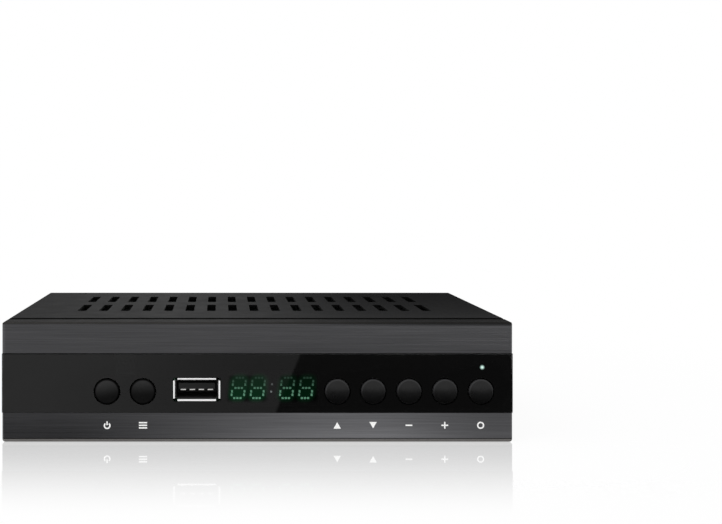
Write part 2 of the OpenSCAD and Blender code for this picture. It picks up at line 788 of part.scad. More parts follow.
module tuner_can() color("#b9bcc0") {
    d = [can_rear - can_l, can_rear];
    z = [main_top, main_top + can_h];
    difference() {
        block([can_x0, can_x1], d, z);
        block([can_x0 + can_wall, can_x1 - can_wall], [d[0] + can_wall, d[1] - can_wall],
              [z[0] - eps, z[1] + eps]);
    }
    middle = can_rear - can_l / 2;
    block([can_x0 + can_wall / 2, can_x1 - can_wall / 2], [middle, middle + can_wall], z);
}

module tuner_lid() color("#c6c9cc") {
    top = main_top + can_h;
    out = can_wall + lay_fit;
    difference() {
        block([can_x0 - out, can_x1 + out], [can_rear - can_l - out, can_rear],
              [top - can_lid_skirt, top + can_wall]);
        block([can_x0 - lay_fit, can_x1 + lay_fit], [can_rear - can_l - lay_fit, can_rear + eps],
              [top - can_lid_skirt - eps, top]);
        for (i = [1:3])
            post(can_x0 + i * (can_x1 - can_x0) / 4, can_rear - can_l / 4,
                 top - eps, top + eps, can_lid_hole_d);
    }
}

// A turned aerial sleeve: the flange soldered to the can, the shoulder in the panel's hole and the free end
module aerial_sleeve(x, outside, inside) turned(x, jack_z) rotate_extrude() polygon([
    [inside / 2, can_rear], [aerial_flange_d / 2, can_rear], [aerial_flange_d / 2, rear_inside - lay_fit],
    [outside / 2 + aerial_shoulder, rear_inside - lay_fit], [outside / 2 + aerial_shoulder, case_d],
    [outside / 2, case_d], [outside / 2, jack_end], [inside / 2, jack_end]
]);

module antenna_input() color("#c9c9c6") aerial_sleeve(aerial_x, aerial_bore + 2 * aerial_wall, aerial_bore);

module loop_output() color("#c9c9c6") aerial_sleeve(loop_x, loop_d, loop_d - 2 * aerial_wall);

module aerial_core(x, outside, inside) turned(x, jack_z) translate([0, 0, can_rear]) difference() {
    cylinder(h = aerial_core_l, d = outside - 2 * run_fit);
    translate([0, 0, -eps]) cylinder(h = aerial_core_l + 2 * eps, d = inside + 2 * run_fit);
}

module antenna_insulators() color("#ece9df") {
    aerial_core(aerial_x, aerial_bore, aerial_socket_d);
    aerial_core(loop_x, loop_d - 2 * aerial_wall, aerial_pin_d);
}

module antenna_contacts() color("#d3c18a") {
    turned(aerial_x, jack_z) difference() {
        translate([0, 0, can_rear]) cylinder(h = jack_end - can_rear - 1, d = aerial_socket_d);
        translate([0, 0, case_d]) cylinder(h = jack_len, d = aerial_pin_d + 2 * lay_fit);
    }
    turned(loop_x, jack_z) {
        pin_end = jack_end - aerial_pin_d / 2 - 1;
        translate([0, 0, can_rear]) cylinder(h = pin_end - can_rear, d = aerial_pin_d);
        translate([0, 0, pin_end]) sphere(d = aerial_pin_d);
    }
}

// Picture, sound and power sockets

// The mouth of the picture socket: its lower corners are cut off aslant
module hdmi_outline(grow) {
    w = hdmi_w / 2 + grow;
    h = hdmi_h / 2 + grow;
    slant = hdmi_h / 3;
    polygon([[-w, h], [w, h], [w, slant - h], [w - slant, -h], [slant - w, -h], [-w, slant - h]]);
}

module hdmi_shell() color("#d4d6d8")
    swept_back(case_d + hdmi_proud - hdmi_len, case_d + hdmi_proud) translate([hdmi_x, hdmi_z]) difference() {
        hdmi_outline(hdmi_wall);
        hdmi_outline(0);
    }

module hdmi_tongue() color("#141414") {
    back = case_d + hdmi_proud - hdmi_len;
    swept_back(back, back + hdmi_len / 3) translate([hdmi_x, hdmi_z]) hdmi_outline(-run_fit);
    swept_back(back, case_d - hdmi_tongue_back) translate([hdmi_x, hdmi_z + hdmi_tongue_up])
        square([hdmi_tongue_w, hdmi_tongue_t], center = true);
}

module av_jack_block() color("#1b1b1b")
    block([av_x[2] - av_block_margin, av_x[0] + av_block_margin],
          [rear_inside - av_block_l, rear_inside - lay_fit], [main_top, main_top + av_block_h]);

// The coloured insert of one socket: base, core and the ring that shows round the sleeve
module av_insert(x) {
    base = rear_inside - lay_fit;
    sleeve_in = av_d / 2 - av_wall - run_fit;
    collar = av_d / 2 + av_collar + run_fit;
    turned(x, jack_z) rotate_extrude() polygon([
        [av_hole_d / 2, base], [av_ring_d / 2, base], [av_ring_d / 2, case_d + av_ring_proud],
        [collar, case_d + av_ring_proud], [collar, base + av_base_t],
        [sleeve_in, base + av_base_t], [sleeve_in, jack_end - av_core_back],
        [av_hole_d / 2, jack_end - av_core_back]
    ]);
}

module av_jack_sleeves() color("#cfd1d2") for (x = av_x) turned(x, jack_z) {
    base = rear_inside - lay_fit + av_base_t;
    rotate_extrude() polygon([
        [av_d / 2 - av_wall, base], [av_d / 2 + av_collar, base],
        [av_d / 2 + av_collar, case_d + av_ring_proud],
        [av_d / 2, case_d + av_ring_proud], [av_d / 2, jack_end], [av_d / 2 - av_wall, jack_end]
    ]);
}

module video_jack_insert() color("#e0b81f") av_insert(av_x[0]);

module audio_left_insert() color("#eeeeea") av_insert(av_x[1]);

module audio_right_insert() color("#b3241f") av_insert(av_x[2]);

module power_inlet() color("#1b1b1b") difference() {
    block([inlet_x - inlet_w / 2, inlet_x + inlet_w / 2], [case_d - inlet_len, case_d],
          [main_top, main_top + inlet_h]);
    bar(inlet_x, jack_z, case_d - inlet_depth, case_d + eps, inlet_bore);
}

module power_inlet_pin() color("#cfd1d2") turned(inlet_x, jack_z) {
    tip = case_d - inlet_pin_back - inlet_pin_d / 2;
    translate([0, 0, case_d - inlet_depth]) cylinder(h = tip - case_d + inlet_depth, d = inlet_pin_d);
    translate([0, 0, tip]) sphere(d = inlet_pin_d);
}

// Parts on the main board

module decoder_chip() color("#1a1a1c") chip_block(chip_x, chip_depth, main_top, [chip_w, chip_w, chip_t]);

module heat_sink() color("#a7abb0") {
    z = main_top + chip_t;
    chip_block(chip_x, chip_depth, z, [sink_w, sink_w, sink_base_t]);
    for (i = [0 : sink_fins - 1])
        chip_block(chip_x + (i / (sink_fins - 1) - 0.5) * (sink_w - sink_fin_t), chip_depth, z,
                   [sink_fin_t, sink_w, sink_h]);
}

module memory_chips() color("#1a1a1c") {
    for (d = memory_depths) chip_block(memory_x, d, main_top, [memory_w, memory_l, memory_t]);
    chip_block(flash_x, chip_depth - flash_l, main_top, [flash_w, flash_l, flash_t]);
}

module clock_crystal() color("#c4c6c8")
    translate([flash_x, front_y + chip_depth + crystal_l, main_top]) linear_extrude(crystal_h)
        soft_rect(crystal_w, crystal_l, crystal_l / 2 - lay_fit);

module filter_capacitors() color("#20242e") for (p = capacitor_xd)
    translate([p[0], front_y + p[1], main_top]) rotate_extrude() polygon([
        [0, 0], [capacitor_d / 2, 0], [capacitor_d / 2, 3 * capacitor_bead],
        [capacitor_d / 2 - capacitor_bead, 4 * capacitor_bead], [capacitor_d / 2, 5 * capacitor_bead],
        [capacitor_d / 2, capacitor_h - capacitor_bead], [capacitor_d / 2 - capacitor_bead, capacitor_h],
        [0, capacitor_h]
    ]);

// The ribbon leaves the front board straight back, turns down and enters the main board's socket
module ribbon_cable() color("#8f9499") {
    y0 = ribbon_front_end;
    bend_y = ribbon_main_depth - ribbon_r;
    translate([ribbon_x - ribbon_w / 2, front_y, 0]) rotate([90, 0, 90]) linear_extrude(ribbon_w) {
        translate([y0, ribbon_front_z - ribbon_t / 2]) square([bend_y - y0, ribbon_t]);
        translate([bend_y, ribbon_front_z - ribbon_r]) intersection() {
            difference() {
                circle(ribbon_r + ribbon_t / 2);
                circle(ribbon_r - ribbon_t / 2);
            }
            square(2 * ribbon_r);
        }
        translate([ribbon_main_depth - ribbon_t / 2, main_top + ribbon_socket_h])
            square([ribbon_t, ribbon_front_z - ribbon_r - main_top - ribbon_socket_h]);
    }
}

module ribbon_sockets() color("#e6e2d6") {
    w = [ribbon_x - ribbon_socket_w / 2, ribbon_x + ribbon_socket_w / 2];
    block(w, [board_back, ribbon_front_end],
          [ribbon_front_z - ribbon_socket_h / 2, ribbon_front_z + ribbon_socket_h / 2]);
    block(w, [ribbon_main_depth - ribbon_socket_t / 2, ribbon_main_depth + ribbon_socket_t / 2],
          [main_top, main_top + ribbon_socket_h]);
}

front_bezel();
upper_trim();
lower_trim();
lens_panel();
top_cover();
base_pan();
rubber_feet();
cover_screws();
bezel_screws();
board_standoffs();
board_screws();
front_board_screws();
main_board();
front_board();
tact_switches();
button(button_x[0]);  // power_button
button(button_x[1]);  // menu_button
button(button_x[2]);  // channel_up_button
button(button_x[3]);  // channel_down_button
button(button_x[4]);  // volume_down_button
button(button_x[5]);  // volume_up_button
button(button_x[6]);  // ok_button
plunger(button_x[0]);  // power_plunger
plunger(button_x[1]);  // menu_plunger
plunger(button_x[2]);  // channel_up_plunger
plunger(button_x[3]);  // channel_down_plunger
plunger(button_x[4]);  // volume_down_plunger
plunger(button_x[5]);  // volume_up_plunger
plunger(button_x[6]);  // ok_plunger
display_module();
display_segments();
indicator_led();
light_pipe();
infrared_sensor();
usb_shell();
usb_tongue();
usb_contacts();
tuner_can();
tuner_lid();
antenna_input();
loop_output();
antenna_insulators();
antenna_contacts();
hdmi_shell();
hdmi_tongue();
av_jack_block();
av_jack_sleeves();
video_jack_insert();
audio_left_insert();
audio_right_insert();
power_inlet();
power_inlet_pin();
decoder_chip();
heat_sink();
memory_chips();
filter_capacitors();
clock_crystal();
ribbon_cable();
ribbon_sockets();
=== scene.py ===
"""Looks of a television receiver: a black steel case, and a glossy front between two brushed strips."""
import json
import math

import bmesh
import bpy
from mathutils import Matrix, Vector


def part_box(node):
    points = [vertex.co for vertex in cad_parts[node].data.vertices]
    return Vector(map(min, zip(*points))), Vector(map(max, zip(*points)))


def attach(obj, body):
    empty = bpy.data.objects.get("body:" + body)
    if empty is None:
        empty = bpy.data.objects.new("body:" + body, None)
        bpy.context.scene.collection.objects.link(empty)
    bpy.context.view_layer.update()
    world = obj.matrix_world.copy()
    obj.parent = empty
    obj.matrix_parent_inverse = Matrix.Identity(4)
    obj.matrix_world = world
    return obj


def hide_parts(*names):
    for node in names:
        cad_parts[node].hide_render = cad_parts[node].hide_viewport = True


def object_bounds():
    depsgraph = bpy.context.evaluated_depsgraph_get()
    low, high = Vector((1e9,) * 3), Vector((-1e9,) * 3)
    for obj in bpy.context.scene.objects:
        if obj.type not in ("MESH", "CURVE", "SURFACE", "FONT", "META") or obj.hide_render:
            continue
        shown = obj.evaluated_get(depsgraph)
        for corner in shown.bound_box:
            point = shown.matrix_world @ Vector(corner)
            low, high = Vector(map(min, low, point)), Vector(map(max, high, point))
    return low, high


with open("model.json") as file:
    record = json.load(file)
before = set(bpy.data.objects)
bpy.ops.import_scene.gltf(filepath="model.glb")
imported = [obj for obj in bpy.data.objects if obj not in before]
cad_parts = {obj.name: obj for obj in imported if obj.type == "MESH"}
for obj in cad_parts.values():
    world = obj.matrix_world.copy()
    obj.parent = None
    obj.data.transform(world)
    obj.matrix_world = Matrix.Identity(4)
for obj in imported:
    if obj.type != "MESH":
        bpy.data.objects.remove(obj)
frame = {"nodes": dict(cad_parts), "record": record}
cad_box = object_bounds()
nodes = frame["nodes"]

# One millimetre in the scene's metres
MM = 0.001

# Push buttons from left to right
LEFT_BUTTONS = ("power", "menu")
RIGHT_BUTTONS = ("channel_up", "channel_down", "volume_down", "volume_up", "ok")
BUTTONS = LEFT_BUTTONS + RIGHT_BUTTONS

# Face and rim of a button, and its flange and stem behind the lens
CAP_R = 3.8 * MM
CAP_DOME = 0.55 * MM
CAP_RIM = 0.5 * MM
STEM_R = 1.6 * MM
FLANGE_FRONT = 3.65 * MM
FLANGE_BACK = 4.45 * MM

# Signs under the buttons: thickness above the strip, middle, height and width of a line
INK = 0.05 * MM
SIGN_Z = 5.2 * MM
SIGN_H = 2.2 * MM
STROKE = 0.42 * MM

# Digits of the display: their middles from the display's middle, their size, and their slant in degrees
DIGIT_X = (-10.4 * MM, -4.5 * MM, 4.5 * MM, 10.4 * MM)
DIGIT_W = 3.84 * MM
DIGIT_H = 6.25 * MM
DIGIT_SLANT = 7

# Painted glow round a digit on the module's face: where it starts to fade, where it ends, and the radius of
# its corners
PAINTED_GLOW_START = 0.1 * MM
PAINTED_GLOW_END = 1.9 * MM
PAINTED_GLOW_ROUND = 1.5 * MM

# Widths of the broken edges
EDGES = {
    "front_bezel": 0.12 * MM,
    "upper_trim": 0.25 * MM,
    "lower_trim": 0.25 * MM,
    "top_cover": 0.08 * MM,
    "base_pan": 0.08 * MM,
}

# The front and the cover, read from the solids
FRONT_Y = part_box("lens_panel")[0].y
TRIM_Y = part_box("lower_trim")[0].y
LENS_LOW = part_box("lens_panel")[0].z
HALF_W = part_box("lens_panel")[1].x
HALF_D = cad_box[1].y
COVER_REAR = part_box("top_cover")[1].y
COVER_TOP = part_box("top_cover")[1].z

# Range in which most of a noise pattern lies
NOISE_LOW = 0.3
NOISE_HIGH = 0.7

FULL_TURN = 2 * math.pi


# Nodes of a material or of the world

def add(material, kind, **values):
    """A new node, with each value on the setting or the socket of that name."""
    new = material.node_tree.nodes.new(kind)
    for name, value in values.items():
        if hasattr(new, name):
            setattr(new, name, value)
        else:
            new.inputs[name.replace("_", " ")].default_value = value
    return new


def join(material, source, target):
    """Link an output to an input."""
    material.node_tree.links.new(source, target)


def put(material, value, socket):
    """Link a socket to an input, or set the input to a number."""
    if isinstance(value, bpy.types.NodeSocket):
        join(material, value, socket)
    else:
        socket.default_value = value


def shader_of(material):
    """The shader of a plain finish."""
    return material.node_tree.nodes["Principled BSDF"]


def axes(material):
    """The three object coordinates."""
    place = add(material, "ShaderNodeTexCoord")
    split = add(material, "ShaderNodeSeparateXYZ")
    join(material, place.outputs["Object"], split.inputs["Vector"])
    return split.outputs


def combine(material, operation, first, second):
    """Two numbers or sockets through one arithmetic node."""
    node = add(material, "ShaderNodeMath", operation=operation)
    put(material, first, node.inputs[0])
    put(material, second, node.inputs[1])
    return node.outputs["Value"]


def ease(material, value, start, end, low, high):
    """A number that eases from low to high while the value goes from start to end."""
    step = add(material, "ShaderNodeMapRange", interpolation_type="SMOOTHSTEP")
    join(material, value, step.inputs["Value"])
    for name, number in zip(("From Min", "From Max", "To Min", "To Max"), (start, end, low, high)):
        put(material, number, step.inputs[name])
    return step.outputs["Result"]


def offset(material, value, middle):
    """How far a coordinate is from the middle, on either side."""
    return combine(material, "ABSOLUTE", combine(material, "SUBTRACT", value, middle), 0)


def corner(material, aside, past):
    """Straight distance over two legs at a right angle; a second leg below 0 counts as 0."""
    over = combine(material, "MAXIMUM", past, 0)
    aside_squared = combine(material, "POWER", aside, 2)
    over_squared = combine(material, "POWER", over, 2)
    return combine(material, "SQRT", combine(material, "ADD", aside_squared, over_squared), 0)


def cloud(material, cells, detail=3.0, stretch=(1, 1, 1)):
    """Noise with so many cells to the millimetre, stretched along an axis where its number is small."""
    place = add(material, "ShaderNodeTexCoord")
    turn = add(material, "ShaderNodeMapping")
    turn.inputs["Scale"].default_value = [cells / MM * s for s in stretch]
    noise = add(material, "ShaderNodeTexNoise", Scale=1.0, Detail=detail, Roughness=0.6)
    join(material, place.outputs["Object"], turn.inputs["Vector"])
    join(material, turn.outputs["Vector"], noise.inputs["Vector"])
    return noise.outputs["Fac"]


def mix(material, share, first, second):
    """Two shaders, mixed by the share of the second."""
    node = add(material, "ShaderNodeMixShader")
    join(material, share, node.inputs["Fac"])
    join(material, first, node.inputs[1])
    join(material, second, node.inputs[2])
    return node.outputs["Shader"]


def background_rays(material):
    """1 for the rays that see a white background: from the camera, mirrored, or through clear pieces."""
    path = add(material, "ShaderNodeLightPath")
    bent = combine(material, "MAXIMUM", path.outputs["Is Glossy Ray"], path.outputs["Is Transmission Ray"])
    return combine(material, "MAXIMUM", path.outputs["Is Camera Ray"], bent)


# Parts of a finish

def blank_finish(name, colour, roughness, metallic=0.0, specular=0.5):
    """A plain finish, to which grain is added."""
    material = bpy.data.materials.new(name)
    material.use_nodes = True
    shader = shader_of(material)
    shader.inputs["Base Color"].default_value = (*colour, 1)
    shader.inputs["Roughness"].default_value = roughness
    shader.inputs["Metallic"].default_value = metallic
    shader.inputs["Specular IOR Level"].default_value = specular
    return material


def shade(material, pattern, spread):
    """The finish's own colour, lighter and darker by spread with the pattern."""
    colour = shader_of(material).inputs["Base Color"].default_value[:3]
    ramp = add(material, "ShaderNodeValToRGB")
    low, high = ramp.color_ramp.elements
    low.position = NOISE_LOW
    high.position = NOISE_HIGH
    low.color = [c * (1 - spread) for c in colour] + [1]
    high.color = [c * (1 + spread) for c in colour] + [1]
    join(material, pattern, ramp.inputs["Fac"])
    join(material, ramp.outputs["Color"], shader_of(material).inputs["Base Color"])


def roughen(material, pattern, spread):
    """The finish's own roughness, up and down by spread with the pattern."""
    socket = shader_of(material).inputs["Roughness"]
    low = socket.default_value - spread
    high = socket.default_value + spread
    scale = add(material, "ShaderNodeMapRange", From_Min=NOISE_LOW, From_Max=NOISE_HIGH,
                To_Min=low, To_Max=high)
    join(material, pattern, scale.inputs["Value"])
    join(material, scale.outputs["Result"], socket)


def emboss(material, pattern, depth):
    """Relief of so many millimetres."""
    bump = add(material, "ShaderNodeBump", Strength=0.5, Distance=depth * MM)
    join(material, pattern, bump.inputs["Height"])
    join(material, bump.outputs["Normal"], shader_of(material).inputs["Normal"])


def darken(material, mask, share):
    """Multiply the colour by share where the mask is 1; a share above 1 makes it lighter."""
    target = shader_of(material).inputs["Base Color"]
    blend = add(material, "ShaderNodeMix", data_type="RGBA", blend_type="MULTIPLY")
    colour = next(socket for socket in blend.inputs if socket.name == "A" and socket.type == "RGBA")
    tint = next(socket for socket in blend.inputs if socket.name == "B" and socket.type == "RGBA")
    tint.default_value = (share, share, share, 1)
    join(material, mask, blend.inputs["Factor"])
    if target.is_linked:
        join(material, target.links[0].from_socket, colour)
    else:
        colour.default_value = target.default_value
    result = next(socket for socket in blend.outputs if socket.type == "RGBA")
    join(material, result, target)


# Finishes

def moulded(name, colour, roughness=0.45, cells=2.5, depth=0.02, spread=0.10, specular=0.4):
    """Moulded plastic with a spark-eroded grain."""
    material = blank_finish(name, colour, roughness, specular=specular)
    grain = cloud(material, cells)
    patches = cloud(material, cells / 20)
    shade(material, grain, spread)
    roughen(material, patches, 0.06)
    emboss(material, grain, depth)
    return material


def powder_coat(name, colour, roughness, specular):
    """Powder coat: an orange-peel relief with fine sparkle in its colour."""
    material = blank_finish(name, colour, roughness, specular=specular)
    sparkle = cloud(material, 3.5, detail=5)
    patches = cloud(material, 0.12)
    peel = cloud(material, 1.6, detail=4)
    shade(material, sparkle, 0.16)
    roughen(material, patches, 0.05)
    emboss(material, peel, 0.03)
    return material


def cover_finish(name):
    """Powder coat on the cover, with painted shade: black in the slots of its top and darker along its front
    edge.
    """
    low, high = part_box("top_cover")
    material = powder_coat(name, (0.0122, 0.0122, 0.0125), 0.7, 0.08)
    place = axes(material)
    under_top = ease(material, place["Z"], high.z - 0.12 * MM, high.z - 0.04 * MM, 1, 0)
    between_walls = ease(material, offset(material, place["X"], 0), high.x - 3 * MM, high.x - 2 * MM, 1, 0)
    slots = combine(material, "MULTIPLY", under_top, between_walls)
    painted_edge_shade = ease(material, place["Y"], low.y + 0.05 * MM, low.y + 0.12 * MM, 1, 0)
    # Painted shade: the slot walls and the inside under the top are darkened nearly to black
    darken(material, slots, 0.1)
    # Painted shade: the front edge face is darkened where the gap before the bezel is shaded
    darken(material, painted_edge_shade, 0.5)
    return material


def bezel_finish(name):
    """Moulded front with painted shade in the gap before the cover and on the top's right, and a painted
    highlight on its rim and lip.
    """
    low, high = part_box("front_bezel")
    cover_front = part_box("top_cover")[0].y
    material = moulded(name, (0.0122, 0.0117, 0.0113), 0.7, specular=0.08)
    place = axes(material)
    gap = ease(material, place["Y"], cover_front - 5.7 * MM, cover_front - 5.0 * MM, 0, 1)
    rim = ease(material, offset(material, place["Z"], high.z - 0.35 * MM), 0.25 * MM, 0.32 * MM, 1, 0)
    lip = ease(material, place["Z"], low.z + 0.82 * MM, low.z + 0.90 * MM, 1, 0)
    left = ease(material, place["X"], -20 * MM, 60 * MM, 1.0, 0.15)
    top = ease(material, place["Z"], high.z - 0.06 * MM, high.z - 0.02 * MM, 0, 1)
    right = ease(material, place["X"], -10 * MM, 60 * MM, 0, 1)
    # Painted shade in the sunken gap before the cover
    darken(material, gap, 0.3)
    # Painted shade on the top face towards the right
    darken(material, combine(material, "MULTIPLY", top, right), 0.35)
    # Painted highlight on the rim along the top, fading out to the right
    darken(material, combine(material, "MULTIPLY", rim, left), 2.9)
    # Painted reflection: the lip under the lower strip is made many times lighter, as if it mirrored the
    # floor
    darken(material, lip, 11.0)
    return material


def plated(name, colour, roughness, cells=0.8, spread=0.06):
    """Plated or polished metal with faint handling marks."""
    material = blank_finish(name, colour, roughness, metallic=1.0)
    marks = cloud(material, cells, detail=5)
    shade(material, marks, spread)
    roughen(material, marks, 0.06)
    return material


def brushed(name, colour, roughness):
    """Brushed strip, with its grain along the width."""
    material = blank_finish(name, colour, roughness, metallic=1.0)
    shader_of(material).inputs["Anisotropic"].default_value = 0.5
    shader_of(material).inputs["Anisotropic Rotation"].default_value = 0.25
    scratches = cloud(material, 2.4, detail=4, stretch=(0.012, 0.2, 1))
    hairlines = cloud(material, 7, detail=2, stretch=(0.004, 0.2, 1))
    shade(material, scratches, 0.16)
    roughen(material, hairlines, 0.08)
    emboss(material, scratches, 0.004)
    return material


def lower_strip(name, colour, roughness):
    """Brushed strip that is dark along its foot, with painted shade."""
    foot_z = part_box("lower_trim")[0].z
    material = brushed(name, colour, roughness)
    foot = ease(material, axes(material)["Z"], foot_z + 0.2 * MM, foot_z + 0.34 * MM, 1, 0)
    # Painted shade: a dark line along the foot of the strip, where the seam above the lip is shaded
    darken(material, foot, 0.3)
    return material


def upper_strip(name, colour, roughness):
    """Brushed strip whose top edge has painted shade, darker to the right."""
    top_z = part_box("upper_trim")[1].z
    material = brushed(name, colour, roughness)
    place = axes(material)
    edge = ease(material, place["Z"], top_z - 0.65 * MM, top_z - 0.35 * MM, 0, 1)
    right = ease(material, place["X"], 0, 70 * MM, 0, 1)
    # Painted shade: the highlight on the top edge is darkened towards the right
    darken(material, combine(material, "MULTIPLY", edge, right), 0.4)
    return material


def smoked_acrylic(name):
    """Dark clear sheet that lets the display through."""
    material = blank_finish(name, (0.08, 0.08, 0.083), 0.02)
    shader = shader_of(material)
    shader.inputs["Transmission Weight"].default_value = 1.0
    shader.inputs["IOR"].default_value = 1.49
    roughen(material, cloud(material, 0.05), 0.012)
    return material


def lit_dots(name):
    """Green display dots, brighter towards the bottom of each digit, and the pale dots of the colon."""
    low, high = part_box("display_segments")
    material = blank_finish(name, (0.02, 0.10, 0.05), 0.4)
    shader = shader_of(material)
    place = axes(material)
    aside = offset(material, place["X"], (low.x + high.x) / 2)
    colours = add(material, "ShaderNodeValToRGB")
    colours.color_ramp.interpolation = "CONSTANT"
    colon, digit = colours.color_ramp.elements
    colon.color = (0.28, 0.32, 0.30, 1)
    digit.position = 0.5
    digit.color = (0.19, 0.46, 0.29, 1)
    strength = ease(material, place["Z"], low.z + 0.5 * MM, high.z, 7.0, 1.0)
    join(material, ease(material, aside, 1.4 * MM, 1.8 * MM, 0, 1), colours.inputs["Fac"])
    join(material, colours.outputs["Color"], shader.inputs["Emission Color"])
    join(material, strength, shader.inputs["Emission Strength"])
    return material


def display_face(name):
    """Dark module with a painted green glow in and round each digit, fainter towards the top and the right.
    """
    low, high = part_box("display_segments")
    middle = (low + high) / 2
    half_w = DIGIT_W / 2
    half_h = DIGIT_H / 2
    material = moulded(name, (0.003, 0.004, 0.003), 0.5)
    shader = shader_of(material)
    place = axes(material)
    up = combine(material, "SUBTRACT", place["Z"], middle.z)
    lean = combine(material, "MULTIPLY", up, math.tan(math.radians(DIGIT_SLANT)))
    along = combine(material, "SUBTRACT", combine(material, "SUBTRACT", place["X"], middle.x), lean)
    aside = offset(material, along, DIGIT_X[0])
    for digit_x in DIGIT_X[1:]:
        aside = combine(material, "MINIMUM", aside, offset(material, along, digit_x))
    past_side = combine(material, "SUBTRACT", aside, half_w - PAINTED_GLOW_ROUND)
    past_end = combine(material, "SUBTRACT", offset(material, up, 0), half_h - PAINTED_GLOW_ROUND)
    edge = corner(material, combine(material, "MAXIMUM", past_side, 0), past_end)
    painted_glow = ease(material, edge, PAINTED_GLOW_ROUND + PAINTED_GLOW_START, PAINTED_GLOW_ROUND + PAINTED_GLOW_END, 1, 0)
    lower = ease(material, up, -half_h, half_h, 0.47, 0.31)
    left = ease(material, along, -7 * MM, 7 * MM, 1.0, 0.47)
    strength = combine(material, "MULTIPLY", painted_glow, combine(material, "MULTIPLY", lower, left))
    # Painted glow: the dark face of the module emits green in and round each digit
    shader.inputs["Emission Color"].default_value = (0.01, 0.55, 0.17, 1)
    join(material, strength, shader.inputs["Emission Strength"])
    return material


def lit_pipe(name):
    """Light pipe of the indicator: nearly white in its middle, and dark green at its rim."""
    low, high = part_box("light_pipe")
    middle = (low + high) / 2
    material = blank_finish(name, (0.03, 0.07, 0.055), 0.3)
    shader = shader_of(material)
    place = axes(material)
    reach = corner(material, offset(material, place["X"], middle.x), offset(material, place["Z"], middle.z))
    shader.inputs["Emission Color"].default_value = (0.74, 1.0, 0.91, 1)
    join(material, ease(material, reach, 0, 0.78 * MM, 1.05, 0.01), shader.inputs["Emission Strength"])
    return material


def button_face(material, buttons):
    """Height over the middle of the nearest of these buttons, and distance from it in the front's plane."""
    place = axes(material)
    middles = [sum(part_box(button + "_button"), Vector()) / 2 for button in buttons]
    aside = offset(material, place["X"], middles[0].x)
    for middle in middles[1:]:
        aside = combine(material, "MINIMUM", aside, offset(material, place["X"], middle.x))
    up = combine(material, "SUBTRACT", place["Z"], middles[0].z)
    return up, corner(material, aside, offset(material, up, 0))


def left_button_finish(name):
    """Satin plastic of the two left buttons, with painted shade that leaves each face lighter towards the top
    and dark round its rim.
    """
    material = moulded(name, (0.026, 0.026, 0.0262), 0.55, cells=5, depth=0.003, specular=0.06)
    up, reach = button_face(material, LEFT_BUTTONS)
    power_x, menu_x = [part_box(button + "_button")[0].x for button in LEFT_BUTTONS]
    lift = ease(material, axes(material)["X"], power_x, menu_x, 0, 1.3 * MM)
    painted_low_shade = ease(material, combine(material, "SUBTRACT", up, lift), -2.6 * MM, 3.2 * MM, 1, 0)
    rim = ease(material, reach, 3.3 * MM, 3.55 * MM, 0, 1)
    # Painted shade: the lower part of each face is darkened, the menu's up to a higher line, and a dark ring
    # round the rim
    darken(material, painted_low_shade, 0.14)
    darken(material, rim, 0.08)
    return material


def right_button_finish(name):
    """Glossy plastic of the right buttons, with painted shade towards the bottom of a face and a painted
    highlight at its upper rim.
    """
    material = moulded(name, (0.0042, 0.0042, 0.0044), 0.32, cells=5, depth=0.003, specular=0.28)
    up, reach = button_face(material, RIGHT_BUTTONS)
    painted_low_shade = ease(material, up, -3.4 * MM, -0.2 * MM, 1, 0)
    painted_high_band = ease(material, up, -2.4 * MM, 2.0 * MM, 0, 1)
    rim = ease(material, reach, 3.3 * MM, 3.5 * MM, 0, 1)
    # Painted shade towards the bottom of each face, and a painted highlight on the upper part of its rim
    darken(material, painted_low_shade, 0.08)
    darken(material, combine(material, "MULTIPLY", rim, painted_high_band), 5.0)
    return material


def socket_shell(name, node, mouth, lip):
    """Bright plated lips of so many millimetres round a mouth, and a shell made dark inside by painted shade.
    """
    low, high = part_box(node)
    middle = (low + high) / 2
    inner_w = high.x - middle.x - lip * MM
    inner_h = high.z - middle.z - lip * MM
    material = plated(name, (0.98, 0.98, 0.98), 0.42, spread=0.02)
    shader_of(material).inputs["Metallic"].default_value = 0.2
    place = axes(material)
    wide = combine(material, "SUBTRACT", offset(material, place["X"], middle.x), inner_w)
    tall = combine(material, "SUBTRACT", offset(material, place["Z"], middle.z), inner_h)
    inside = ease(material, combine(material, "MAXIMUM", wide, tall), -0.06 * MM, 0.02 * MM, 1, 0)
    deep = ease(material, offset(material, place["Y"], mouth), 1.0 * MM, 1.6 * MM, 0, 1)
    # Painted shade: inside the lips and deeper than the mouth, the plating is darkened almost to black
    darken(material, combine(material, "MAXIMUM", inside, deep), 0.015)
    return material


